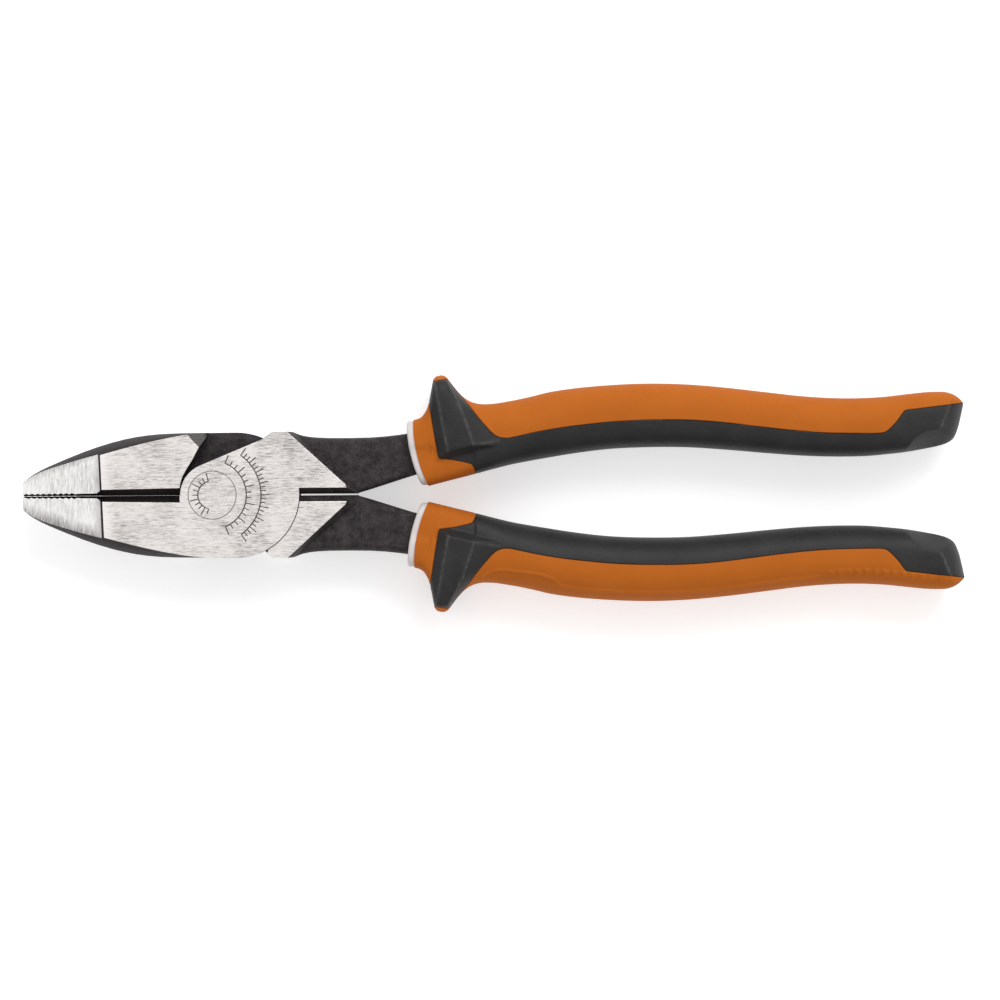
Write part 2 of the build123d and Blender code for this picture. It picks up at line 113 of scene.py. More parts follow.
END_FACE = [(187.95, 14.0), (189.65, 21.9)]  # the flat end, leaning
END_LEAN = (END_FACE[1][0] - END_FACE[0][0]) / (END_FACE[1][1] - END_FACE[0][1])
END_Y = 18.0  # where the last sections meet the end face
END_X = END_FACE[0][0] + END_LEAN * (END_Y - END_FACE[0][1])
LEAN_START = 172.0  # sections turn from here on to lie along it
END_ROUND = 3.2  # depth of the round towards the end face
END_SQUARENESS = 2.6
FACET_EDGE = [(183.3, 15.9), (186.0, 22.3)]  # where the facet at the end begins to fall
FACET_T = 8.3
FACET_SLOPE = 0.95
SIDE_EDGE = [(168.0, 14.2), (183.3, 15.6), (188.2, 15.1)]  # where the flat turns down to the inner side
SIDE_START, SIDE_FULL = 170.0, 184.0
SIDE_SLOPE = 1.7
SIDE_RISE = 3.0  # keeps that turn clear of the handle's body where it has not begun

# Seam between the grey grip and the orange cover, as straight and curved runs.
SEAM = [
    [(66.9, 2.0), (66.4, 5.0), (65.6, 7.0), (64.6, 7.6), (60.6, 8.5), (57.4, 8.75)],
    [(57.4, 8.75), (56.95, 9.1), (56.75, 9.9)],
    [(56.75, 9.9), (54.75, 22.0), (54.35, 24.5), (54.9, 28.1)],
    [(54.9, 28.1), (58.6, 28.75), (59.6, 28.5), (61.6, 25.9), (64.4, 22.6), (67.5, 18.6), (70.2, 15.5)],
    [(70.2, 15.5), (71.6, 14.4), (73.1, 13.9), (74.8, 13.9), (76.6, 14.25)],
    [(76.6, 14.25), (82.4, 15.5), (88.5, 16.5), (94.5, 17.2), (100.5, 17.8), (106.6, 18.1), (112.6, 18.2),
     (118.6, 18.15), (124.7, 17.8), (130.7, 17.2), (136.7, 16.45), (142.8, 15.7), (148.8, 15.1),
     (154.8, 14.65), (160.9, 14.5), (167.5, 14.45)],
    [(167.5, 14.45), (169.2, 14.7), (170.6, 15.7), (172.4, 17.6), (174.0, 19.8), (174.7, 20.25)],
    [(174.7, 20.25), (187.4, 21.75), (189.7, 22.0), (194.0, 22.2)],
]
SEAM_CLOSE = [(194.0, -6.0), (66.9, -6.0)]
GROOVE_HALF_W = 0.22  # groove along the seam
GROOVE_DEPTH = 0.14
CUT_SNAP = 0.02  # points nearer than this to a cut are taken to lie on it
SHELL_T = 1.6  # thickness of the moulded layers' shells
RIDGES = [  # edges that get a painted highlight
    [PAD[4], PAD[0]],
    [PAD[1], PAD[2], PAD[3]],
    [PAD[1], (72.0, 13.3)],
    FACET_EDGE,
]
RIDGE_W = 0.35  # how far that painted highlight spreads
RIDGE_Z = 7.0  # only the front and back faces get the painted highlight, farther than this from the lap plane
RING = 216  # points round the handle
SLEEVE_RING = 96  # points round the white sleeve
SHARP_ANGLE = math.radians(50)

# Edges of the tang, and the white tube round it.
TANG_INNER = [(50, 4.5), (70, 10.3), (90, 14.2), (112, 15.9), (135, 14.6), (158, 13.0), (181, 14.9)]
TANG_OUTER = [(50, 15.4), (70, 18.6), (90, 21.6), (112, 22.8), (135, 21.2), (158, 19.2), (181, 20.6)]
TUBE_X = (58.0, 181.0)
TUBE_STEPS = 30
TUBE_T = 1.2  # thickness of its wall
TUBE_HALF_T = 5.2
TANG_FIT = 0.06  # gap between the tube and the tang
TANG_HALF_T = 4.0
BAR_SQUARENESS = 8
# Depth behind the cover's front edge, and inset, round the collar's lip and into the cover.
COLLAR_PROFILE = (
    (-COLLAR_LIP, 0.62), (-COLLAR_LIP + 0.08, 0.32), (-COLLAR_LIP + 0.3, 0.1), (-COLLAR_LIP + 0.6, 0.0),
    (0.0, 0.05), (1.8, 0.9), (1.8, 2.5),
)

# Raised panel line and grip ribs, moulded in the back of each handle.
PANEL = [(67.6, 21.0), (70.0, 19.9), (72.2, 19.3), (77.0, 19.8), (82.5, 20.6), (85.3, 21.6), (88.0, 23.4),
         (95.0, 24.4), (110.0, 25.2), (125.0, 24.7), (140.0, 22.8), (152.0, 21.5)]
RIB_X = (155.5, 183.0)
RIB_PITCH = 2.3
RIB_Y = 3.0  # distance of the ribs from the outer edge
RELIEF = 0.3  # height of both
PANEL_W = 0.32


def smooth_curve(points):
    """Smooth function through the points: cubic pieces whose slopes average the neighbouring chords."""
    xs, ys = np.array(points, float).T
    step = np.diff(xs)
    chord = np.diff(ys) / step
    slope = np.empty_like(ys)
    slope[1:-1] = (chord[:-1] * step[1:] + chord[1:] * step[:-1]) / (step[1:] + step[:-1])
    slope[0], slope[-1] = chord[0], chord[-1]

    def at(x):
        i = np.clip(np.searchsorted(xs, x) - 1, 0, len(xs) - 2)
        h = xs[i + 1] - xs[i]
        t = np.clip((x - xs[i]) / h, 0, 1)
        return (
            ys[i] * (1 + 2 * t) * (1 - t) ** 2
            + slope[i] * h * t * (1 - t) ** 2
            + ys[i + 1] * t**2 * (3 - 2 * t)
            - slope[i + 1] * h * t**2 * (1 - t)
        )

    return at


def smoothstep(low, high, x):
    t = np.clip((x - low) / (high - low), 0, 1)
    return t * t * (3 - 2 * t)


def soft_max(a, b, width):
    """The larger of two, rounded where they meet."""
    h = np.clip(0.5 + 0.5 * (a - b) / width, 0, 1)
    return b + (a - b) * h + width * h * (1 - h)


def soft_min(a, b, width):
    return -soft_max(-a, -b, width)


def beside(line, x, y):
    """Signed distance from the line through two points, positive on its right."""
    (ax, ay), (bx, by) = line
    length = math.hypot(bx - ax, by - ay)
    return ((x - ax) * (by - ay) - (y - ay) * (bx - ax)) / length


def curve_points(points, steps=8):
    """Points along a smooth curve through the given ones."""
    p = np.array(points, float)
    if len(p) < 3:
        return p
    padded = np.vstack([2 * p[0] - p[1], p, 2 * p[-1] - p[-2]])
    t = np.linspace(0, 1, steps, endpoint=False)[:, None]
    runs = []
    for a, b, c, d in zip(padded, padded[1:], padded[2:], padded[3:]):
        square, cube = 2 * a - 5 * b + 4 * c - d, 3 * b - a - 3 * c + d
        runs.append(0.5 * (2 * b + (c - a) * t + square * t**2 + cube * t**3))
    return np.vstack([*runs, p[-1:]])


def distance_to(path, x, y, closed=False):
    """Distance from points to a path. For a closed one it is signed, positive inside."""
    ends = np.roll(path, -1, axis=0) if closed else path[1:]
    starts = path if closed else path[:-1]
    best = np.full(x.shape, 1e9)
    inside = np.zeros(x.shape, bool)
    for (ax, ay), (bx, by) in zip(starts, ends):
        dx, dy = bx - ax, by - ay
        t = np.clip(((x - ax) * dx + (y - ay) * dy) / (dx * dx + dy * dy + 1e-12), 0, 1)
        best = np.minimum(best, np.hypot(x - ax - t * dx, y - ay - t * dy))
        if closed and ay != by:
            inside ^= ((ay > y) != (by > y)) & (x < ax + (y - ay) * dx / dy)
    return np.where(inside, best, -best) if closed else best


outer_edge = smooth_curve(OUTER)
inner_edge = smooth_curve(INNER)
half_thickness = smooth_curve(HALF_T)
squareness = smooth_curve(SQUARENESS)
side_edge = smooth_curve(SIDE_EDGE)
tang_inner = smooth_curve(TANG_INNER)
tang_outer = smooth_curve(TANG_OUTER)
front_bulge = np.polyfit([y for _, y in FRONT_EDGE], [x - FRONT_X for x, _ in FRONT_EDGE], 2)
seam_path = np.vstack([*(curve_points(run) for run in SEAM), SEAM_CLOSE])
panel_path = curve_points(PANEL)


def thickness_at(x, y):
    """Half thickness of the handle's flat at a point: body, finger-guard pad, rounded end and its facet."""
    body = half_thickness(x) - UNDERCUT * smoothstep(*UNDERCUT_X, x) * smoothstep(*UNDERCUT_Y, y)
    fall = np.zeros_like(x)
    for a, b, slope in zip(PAD, PAD[1:] + PAD[:1], PAD_SLOPES):
        fall = soft_max(fall, slope * beside((a, b), x, y), 0.12)
    t = soft_max(body, PAD_T - fall, 0.25)
    t = soft_min(t, FACET_T - FACET_SLOPE * beside(FACET_EDGE, x, y), 0.1)
    turn = SIDE_SLOPE * smoothstep(SIDE_START, SIDE_FULL, x)
    t = soft_min(t, body + 0.1 - turn * (side_edge(x) - y) + SIDE_RISE * (1 - turn / SIDE_SLOPE), 0.15)
    depth = np.clip(beside(END_FACE[::-1], x, y) / END_ROUND, 0, 1)
    return t * (1 - (1 - depth) ** END_SQUARENESS) ** (1 / END_SQUARENESS)


def superellipse(angle, power):
    """Points round a superellipse of size 1, as (across, up)."""
    cosine, sine = np.cos(angle), np.sin(angle)
    return np.sign(cosine) * np.abs(cosine) ** power, np.sign(sine) * np.abs(sine) ** power


def handle_rings(stations, count, inset=0.0, shift=0.0):
    """Evenly spaced points x, y, z of rings round the handle.

    The front rings bend to follow the cover's front edge, and the last ones lean to lie along the end face.
    An inset makes them smaller all round, and a shift moves them towards the head.
    """
    fine = np.linspace(0, 2 * math.pi, 6 * count + 1)
    x0, angle = np.meshgrid(stations, fine, indexing="ij")
    across, up = superellipse(angle, 2 / squareness(x0))
    bend = np.clip((BEND_END - x0) / (BEND_END - FRONT_X), 0, None) ** BEND_FADE
    lean = END_LEAN * smoothstep(LEAN_START, END_X, x0)
    x = x0.copy()
    for _ in range(BEND_PASSES):
        low, high = inner_edge(x) + inset, outer_edge(x) - inset
        y = (low + high) / 2 + across * (high - low) / 2
        x = x0 + bend * np.polyval(front_bulge, y) + lean * (y - END_Y)
    rings = np.stack([x - shift, y, up * (thickness_at(x, y) - inset)], axis=-1)
    step = np.linalg.norm(np.diff(rings, axis=1), axis=-1)
    run = np.concatenate([np.zeros((len(stations), 1)), np.cumsum(step, axis=1)], axis=1)
    even = np.empty((len(stations), count, 3))
    for i, ring in enumerate(rings):
        at = np.linspace(0, run[i, -1], count, endpoint=False)
        for axis in range(3):
            even[i, :, axis] = np.interp(at, run[i], ring[:, axis])
    return even


def new_mesh(name, points, faces):
    """Mesh from points in handle millimetres (z from the lap plane)."""
    mesh = bpy.data.meshes.new(name)
    mesh.from_pydata([(x * MM, y * MM, (MID + z) * MM) for x, y, z in points], [], faces)
    mesh.update()
    return mesh


def ring_faces(ring_count, ring_size, closed):
    """Quads between rings of points, and back to the first ring if closed."""
    faces = []
    for i in range(ring_count if closed else ring_count - 1):
        a, b = i * ring_size, (i + 1) % ring_count * ring_size
        for k in range(ring_size):
            n = (k + 1) % ring_size
            faces.append((a + k, a + n, b + n, b + k))
    return faces


def cut_at(bm, value, level):
    """Cuts the mesh along the line where a value stored at its vertices has a level."""
    for v in bm.verts:
        if abs(v[value] - level) < CUT_SNAP:
            v[value] = level
    on_line = set(v for v in bm.verts if v[value] == level)
    crossing = []
    for e in bm.edges:
        a, b = e.verts
        if (a[value] - level) * (b[value] - level) < 0:
            crossing.append(e)
    for e in crossing:
        a, b = e.verts
        fraction = (level - a[value]) / (b[value] - a[value])
        _, v = bmesh.utils.edge_split(e, a, fraction)
        v[value] = level
        on_line.add(v)
    for face in list(bm.faces):
        hits = [v for v in face.verts if v in on_line]
        if len(hits) == 2 and not any(hits[0] in e.verts and hits[1] in e.verts for e in face.edges):
            bmesh.utils.face_split(face, hits[0], hits[1])


def handle_skin():
    """The outside of the upper handle as one mesh, cut along both sides and the bottom of the seam groove.

    Each vertex also keeps its distance inside the seam, where the inner side of the shell lies under it, and
    how near it is to an edge of the guard or the end that gets a painted highlight.
    """
    stations = np.concatenate([
        np.arange(FRONT_X, 70.0, 0.18),
        np.arange(70.0, 76.0, 0.3),
        np.arange(76.0, 160.0, 0.6),
        np.arange(160.0, 182.0, 0.3),
        np.arange(182.0, END_X - 0.6, 0.2),
        np.linspace(END_X - 0.6, END_X - 0.02, 8),
    ])
    points = handle_rings(stations, RING).reshape(-1, 3)
    inside_stations = np.interp(stations, [FRONT_X, END_X - 6, END_X], [FRONT_X, END_X - 6, END_X - SHELL_T])
    inside = handle_rings(inside_stations, RING, SHELL_T).reshape(-1, 3)
    faces = ring_faces(len(stations), RING, False)
    last = (len(stations) - 1) * RING
    for k in range(RING // 2):  # the end face, as quads across from side to side
        corners = [last + k, last + k + 1, last + (RING - k - 1) % RING, last + (RING - k) % RING]
        faces.append(tuple(dict.fromkeys(corners)))
    mesh = new_mesh("handle_skin", points, faces)
    px, py, pz = points.T
    seam_distance = distance_to(seam_path, px, py, closed=True)
    relief = back_relief(px, py, pz)
    # strength of the painted highlight along the guard's and the end's edges
    ridge_distance = np.min([distance_to(np.array(path), px, py) for path in RIDGES], axis=0)
    ridge_highlight = np.exp(-(ridge_distance / RIDGE_W) ** 2) * (np.abs(pz) > RIDGE_Z)

    bm = bmesh.new()
    bm.from_mesh(mesh)
    layers = bm.verts.layers
    seam, lighter_edge = layers.float.new("seam"), layers.float.new("ridge_highlight")
    under = layers.float_vector.new("under")
    bm.normal_update()
    for i, v in enumerate(bm.verts):
        v[seam] = seam_distance[i]
        v[lighter_edge] = ridge_highlight[i]
        x, y, z = inside[i]
        v[under] = Vector((x, y, MID + z)) * MM
        v.co += v.normal * relief[i] * MM
    for level in (0.0, GROOVE_HALF_W, -GROOVE_HALF_W):
        cut_at(bm, seam, level)
    bm.normal_update()
    for v in bm.verts:
        if v[seam] == 0.0:
            v.co -= v.normal * GROOVE_DEPTH * MM
    return bm


def back_relief(x, y, z):
    """Height of the moulded panel line and ribs on the back of the handle."""
    line = RELIEF * np.exp(-(distance_to(panel_path, x, y) / PANEL_W) ** 2)
    along = (x - RIB_X[0]) / RIB_PITCH
    middle = outer_edge(x) - RIB_Y
    rib = smoothstep(0.34, 0.2, np.abs(along - np.round(along))) * smoothstep(1.0, 0.6, np.abs(y - middle))
    ribs = RELIEF * rib * (x > RIB_X[0] - 0.8) * (x < RIB_X[1])
    return np.where(z < 0, np.maximum(line, ribs), 0.0)


def add_object(name, mesh):
    """A new object in the scene, shaded smooth except across sharp edges."""
    mesh.shade_smooth()
    mesh.set_sharp_from_angle(angle=SHARP_ANGLE)
    piece = bpy.data.objects.new(name, mesh)
    bpy.context.scene.collection.objects.link(piece)
    return piece


def layer_from_skin(name, bm, side):
    """One moulded layer: the skin's faces on one side of the seam, closed by an inner side and a rim."""
    layers = bm.verts.layers
    seam, lighter_edge, under = layers.float["seam"], layers.float["ridge_highlight"], layers.float_vector["under"]
    kept = [f for f in bm.faces if sum(v[seam] for v in f.verts) * side > 0]
    verts = list(dict.fromkeys(v for f in kept for v in f.verts))
    place = {v: i for i, v in enumerate(verts)}
    count = len(verts)
    outer = [[place[v] for v in f.verts] for f in kept]
    directed = {(a, b) for face in outer for a, b in zip(face, face[1:] + face[:1])}
    rim = [(b, a, a + count, b + count) for a, b in sorted(directed) if (b, a) not in directed]
    inner = [[i + count for i in reversed(face)] for face in outer]
    mesh = bpy.data.meshes.new(name)
    mesh.from_pydata([v.co for v in verts] + [v[under] for v in verts], [], outer + inner + rim)
    for key, layer in (("seam", seam), ("ridge_highlight", lighter_edge)):
        values = mesh.attributes.new(key, "FLOAT", "POINT")
        values.data.foreach_set("value", [v[layer] for v in verts] * 2)
    return add_object(name, mesh)


def turned_copy(piece, name):
    """The same moulding on the other handle: turned half a turn about the tool's centre line."""
    mesh = piece.data.copy()
    for v in mesh.vertices:
        v.co.y, v.co.z = -v.co.y, 2 * MID * MM - v.co.z
    return add_object(name, mesh)


def sleeve_piece(name):
    """White insulation: a collar with a rounded front edge, and the tube behind it, open for the tang."""
    angles = np.arange(SLEEVE_RING) * 2 * math.pi / SLEEVE_RING

    def ring(x, low, high, half_t):
        """Ring of a flat bar with softened corners."""
        across, up = superellipse(angles, 2 / BAR_SQUARENESS)
        y = (low + high) / 2 + across * (high - low) / 2
        return np.stack([np.full_like(y, x), y, up * half_t], axis=1)

    rings = [
        handle_rings(np.array([FRONT_X]), SLEEVE_RING, inset + COLLAR_INSET, -depth)[0]
        for depth, inset in COLLAR_PROFILE
    ]
    for x in np.linspace(*TUBE_X, TUBE_STEPS):
        rings.append(ring(x, tang_inner(x) - TUBE_T, tang_outer(x) + TUBE_T, TUBE_HALF_T))
    rings.append(ring(182.2, tang_inner(182.0) - 0.4, tang_outer(182.0) + 0.4, 4.6))
    for x in np.linspace(TUBE_X[1] + 0.15, TUBE_X[0], TUBE_STEPS):
        rings.append(ring(x, tang_inner(x) - TANG_FIT, tang_outer(x) + TANG_FIT, TANG_HALF_T + TANG_FIT))
    rings.append(ring(55.6, 5.6, 16.6, 5.65))  # behind the collar the bore widens for the shank
    bore = ring(0.0, 3.9, 15.6, 5.62)
    bore[:, 0] = FRONT_X - COLLAR_LIP + np.polyval(front_bulge, bore[:, 1]) + 0.02
    rings.append(bore)
    return add_object(name, new_mesh(name, np.vstack(rings), ring_faces(len(rings), SLEEVE_RING, True)))


# ---- materials --------------------------------------------------------------------------------------------
class Surface:
    """A material with short calls for adding and linking nodes."""

    def __init__(self, name):
        self.material = bpy.data.materials.new(name)
        self.material.use_nodes = True
        self.tree = self.material.node_tree
        self.shader = self.tree.nodes["Principled BSDF"]
        self.place = self.add("ShaderNodeTexCoord").outputs["Object"]

    def add(self, kind, **settings):
        node = self.tree.nodes.new(kind)
        for key, value in settings.items():
            setattr(node, key, value)
        return node

    def put(self, socket, value):
        """Links a node's output to the socket, or sets the socket's own value."""
        if isinstance(value, bpy.types.NodeSocket):
            self.tree.links.new(value, socket)
        else:
            socket.default_value = value

    def noise(self, scale, detail=4.0, roughness=0.6, stretch=(1, 1, 1), distortion=0.0):
        """Noise of a scale in features per metre, stretched along the axes."""
        mapping = self.add("ShaderNodeMapping")
        self.put(mapping.inputs["Vector"], self.place)
        mapping.inputs["Scale"].default_value = stretch
        texture = self.add("ShaderNodeTexNoise")
        self.put(texture.inputs["Vector"], mapping.outputs["Vector"])
        texture.inputs["Scale"].default_value = scale
        texture.inputs["Detail"].default_value = detail
        texture.inputs["Roughness"].default_value = roughness
        texture.inputs["Distortion"].default_value = distortion
        return texture.outputs["Fac"]

    def remap(self, value, low, high, to_low, to_high):
        node = self.add("ShaderNodeMapRange")
        node.clamp = True
        for key, number in (("From Min", low), ("From Max", high), ("To Min", to_low), ("To Max", to_high)):
            node.inputs[key].default_value = number
        self.put(node.inputs["Value"], value)
        return node.outputs["Result"]

    def math(self, operation, a, b):
        node = self.add("ShaderNodeMath", operation=operation)
        self.put(node.inputs[0], a)
        self.put(node.inputs[1], b)
        return node.outputs[0]

    def mix(self, factor, a, b):
        node = self.add("ShaderNodeMix", data_type="RGBA")
        self.put(node.inputs["Factor"], factor)
        self.put(node.inputs[6], a)
        self.put(node.inputs[7], b)
        return node.outputs[2]

    def bump(self, height, distance, strength=1.0, normal=None):
        node = self.add("ShaderNodeBump")
        node.inputs["Distance"].default_value = distance
        node.inputs["Strength"].default_value = strength
        self.put(node.inputs["Height"], height)
        if normal is not None:
            self.put(node.inputs["Normal"], normal)
        return node.outputs["Normal"]

    def soft_edges(self, radius):
        """Normal that rounds the solids' edges by a radius in metres."""
        node = self.add("ShaderNodeBevel", samples=6)
        node.inputs["Radius"].default_value = radius
        return node.outputs["Normal"]

    def axis(self, name):
        node = self.add("ShaderNodeSeparateXYZ")
        self.put(node.inputs[0], self.place)
        return node.outputs[name]

    def attribute(self, name):
        return self.add("ShaderNodeAttribute", attribute_name=name).outputs["Fac"]

    def set(self, **values):
        for key, value in values.items():
            self.put(self.shader.inputs[key.replace("_", " ")], value)
        return self.material


def ground_steel(name, stretch, dark, light, roughness, shade):
    """Bright steel with the straight scratches of a grinding belt, shaded by place."""
    s = Surface(name)
    fine = s.noise(1, 8.0, 0.75, stretch)
    broad = s.noise(1, 4.0, 0.6, tuple(v * 0.22 for v in stretch))
    blotch = s.noise(110, 4.0, 0.6)
    streaks = s.math("ADD", s.math("MULTIPLY", fine, 0.8), s.math("MULTIPLY", broad, 0.2))
    tone = s.math("ADD", s.math("MULTIPLY", streaks, 0.8), s.math("MULTIPLY", blotch, 0.2))
    colour = s.mix(s.remap(tone, 0.395, 0.515, 0, 1), dark, light)
    colour = shade(s, colour, fine)
    scratch = s.noise(1, 10.0, 0.85, tuple(v * 2.2 for v in stretch))
    return s.set(
        Base_Color=colour,
        Metallic=1.0,
        Roughness=s.remap(fine, 0.3, 0.7, roughness - 0.08, roughness + 0.1),
        Normal=s.bump(scratch, 0.00002, 0.35, s.soft_edges(0.00012)),
    )


def shade_face(s, colour, _streaks):
    """The face is brighter just behind the grinding shoulder, a painted highlight where its edge rounds
    over, and dirt fills the rivet's joint.
    """
    x, y = s.axis("X"), s.axis("Y")
    # painted highlight: the face lightened just behind the grinding shoulder
    near = s.remap(x, (NOSE_X + 0.4) * MM, (NOSE_X + 3.6) * MM, 0.75, 0.0)
    colour = s.mix(near, colour, (0.97, 0.93, 0.915, 1))
    radius = s.math("SQRT", s.math("ADD", s.math("MULTIPLY", x, x), s.math("MULTIPLY", y, y)), 0.0)
    from_joint = s.math("ABSOLUTE", s.math("SUBTRACT", radius, RIVET_HEAD_R * MM), 0.0)
    dirt = s.remap(from_joint, 0.00005, 0.00016, 0.8, 0.0)
    return s.mix(dirt, colour, (0.05, 0.045, 0.045, 1))


def shade_nose(s, colour, streaks):
    """The nose is darker in front of the shoulder and along its outer edges, more so on the lower jaw:
    painted shade in front of the shoulder, and a painted darker reflection where the faces roll off towards
    their edges.
    """
    # painted shade in front of the grinding shoulder
    near = s.remap(s.axis("X"), (NOSE_X - 2.6) * MM, (NOSE_X - 0.2) * MM, 0.0, 0.5)
    lower = s.math("MULTIPLY", s.axis("Y"), -1.0)
    # painted darker reflection along the nose's outer edges, stronger on the lower jaw and broken up by the
    # grinding streaks
    for side, reach, depth in ((lower, 3.2, 0.95), (s.axis("Y"), 1.4, 0.45)):
        edge = s.math("SUBTRACT", side, s.math("MULTIPLY", s.axis("X"), NOSE_EDGE_SLOPE))
        band = s.remap(edge, (NOSE_EDGE_Y - reach) * MM, NOSE_EDGE_Y * MM, 0.0, depth)
        broken = s.remap(streaks, 0.42, 0.6, 1.0, 0.3)
        near = s.math("MAXIMUM", near, s.math("MULTIPLY", band, broken))
    return s.mix(near, colour, (0.16, 0.14, 0.135, 1))


def black_oxide():
    """Forged skin under black oxide: fine pits, mill marks and softened edges."""
    s = Surface("black_oxide")
    grain = s.noise(1800, 6.0, 0.75)
    lumps = s.noise(380, 4.0, 0.6)
    tone = s.math("ADD", s.math("MULTIPLY", grain, 0.6), s.math("MULTIPLY", lumps, 0.4))
    colour = s.mix(s.remap(tone, 0.40, 0.62, 0, 1), (0.008, 0.0064, 0.0068, 1), (0.050, 0.0415, 0.0435, 1))
    return s.set(
        Base_Color=colour,
        Metallic=0.0,
        IOR=1.27,
        Roughness=s.remap(grain, 0.3, 0.7, 0.34, 0.55),
        Normal=s.bump(tone, 0.0006, 0.7, s.soft_edges(0.00025)),
    )


def forged_flank():
    """Black oxide on the jaws' drafted sides, lighter towards their outer edge."""
    s = Surface("forged_flank")
    grain = s.noise(1500, 6.0, 0.7)
    from_lap = s.math("ABSOLUTE", s.math("SUBTRACT", s.axis("Z"), MID * MM), 0.0)
    outwards = s.remap(from_lap, 1.5 * MM, 6.8 * MM, 0.9, 0.1)
    # lighter towards the outer edge, by height from the lap plane alone
    lighter_edge = s.math("ADD", outwards, s.remap(grain, 0.3, 0.7, -0.15, 0.15))
    colour = s.mix(lighter_edge, (0.014, 0.012, 0.0125, 1), (0.062, 0.056, 0.057, 1))
    normal = s.bump(grain, 0.0003, 0.6, s.soft_edges(0.0002))
    return s.set(Base_Color=colour, IOR=1.12, Roughness=0.55, Normal=normal)


def worn_facet():
    """Oxide ground away again at the jaw's corner and in the engraved marks."""
    s = Surface("worn_facet")
    streaks = s.noise(1, 7.0, 0.7, (900, 5000, 900))
    colour = s.mix(s.remap(streaks, 0.35, 0.65, 0, 1), (0.075, 0.068, 0.066, 1), (0.15, 0.139, 0.135, 1))
    return s.set(Base_Color=colour, Metallic=0.9, Roughness=0.42, Normal=s.soft_edges(0.00015))


def matt_black(name, dark, light):
    """Dull black scale between the jaws, where no wear or polish reaches."""
    s = Surface(name)
    streaks = s.noise(1, 7.0, 0.7, (5200, 700, 700))
    colour = s.mix(s.remap(streaks, 0.35, 0.65, 0, 1), dark, light)
    return s.set(Base_Color=colour, Roughness=0.9, Specular_IOR_Level=0.0, Normal=s.soft_edges(0.00008))


def moulded(name, dark, light, roughness, ior, grain_scale, grain_depth, seam=True, lighter_edge=None):
    """Moulded plastic or rubber: fine spark-eroded grain, faint mottling and painted shade in the seam
    groove.
    """
    s = Surface(name)
    mottle = s.noise(140, 3.0, 0.55)
    grain = s.noise(grain_scale, 5.0, 0.65)
    cells = s.add("ShaderNodeTexVoronoi", feature="SMOOTH_F1")
    s.put(cells.inputs["Vector"], s.place)
    cells.inputs["Scale"].default_value = grain_scale * 0.55
    speckle = s.math("ADD", s.math("MULTIPLY", mottle, 0.5), s.math("MULTIPLY", grain, 0.5))
    colour = s.mix(s.remap(speckle, 0.35, 0.65, 0, 1), dark, light)
    # painted shade: colour darkened towards the seam groove
    if seam:
        near = s.remap(s.math("ABSOLUTE", s.attribute("seam"), 0.0), 0.03, 0.2, 0.0, 1.0)
        shade = tuple(c * 0.35 for c in dark[:3]) + (1,)
        colour = s.mix(near, shade, colour)
    # painted highlight: the grip lightened along the guard's and the end's edges
    if lighter_edge:
        patchy = s.remap(s.noise(700, 3.0, 0.6), 0.35, 0.6, 0.3, 1.0)
        colour = s.mix(s.math("MULTIPLY", s.attribute("ridge_highlight"), patchy), colour, lighter_edge)
    texture = s.math("ADD", grain, s.math("MULTIPLY", cells.outputs["Distance"], 0.6))
    return s.set(
        Base_Color=colour,
        Roughness=s.remap(grain, 0.3, 0.7, roughness - 0.05, roughness + 0.07),
        IOR=ior,
        Normal=s.bump(texture, grain_depth, 0.6),
    )


# ---- steel ------------------------------------------------------------------------------------------------
NOSE_X = -27.7  # the grinding shoulder between the nose and the face
NOSE_EDGE_SLOPE = 0.345  # outer edges of the nose faces, as a line through y at x = 0
NOSE_EDGE_Y = 20.6
KNIFE_X = (-28.5, -7.9)
MOUTH_Y = 1.9  # half the height of the gap between the jaws
FLAT = 0.999  # a face is parallel to the ground faces when its normal's z is more than this
LEVEL = 0.02  # and lies in one when it is nearer to it than this
MARK_DEPTH = (0.1, 0.2)  # floors of the engraved marks lie between these depths
CORNER_X = (-6.5, 0.0)  # ground corner of each jaw's shoulder
CORNER_Y = 11.0

FACE_STEEL = ground_steel(
    "ground_face", (520, 8200, 2000), (0.20, 0.187, 0.183, 1), (0.85, 0.81, 0.785, 1), 0.33, shade_face
)
NOSE_STEEL = ground_steel(
    "ground_nose", (8200, 420, 2000), (0.50, 0.48, 0.47, 1), (1.0, 0.99, 0.98, 1), 0.36, shade_nose
)
OXIDE = black_oxide()
FACET_STEEL = worn_facet()
KNIFE_STEEL = matt_black("knife_bevel", (0.07, 0.06, 0.061, 1), (0.11, 0.096, 0.098, 1))
FLANK_STEEL = forged_flank()
MOUTH_STEEL = matt_black("mouth_wall", (0.016, 0.0145, 0.015, 1), (0.032, 0.029, 0.03, 1))
STEELS = (OXIDE, FACE_STEEL, NOSE_STEEL, FACET_STEEL, KNIFE_STEEL, MOUTH_STEEL, FLANK_STEEL)


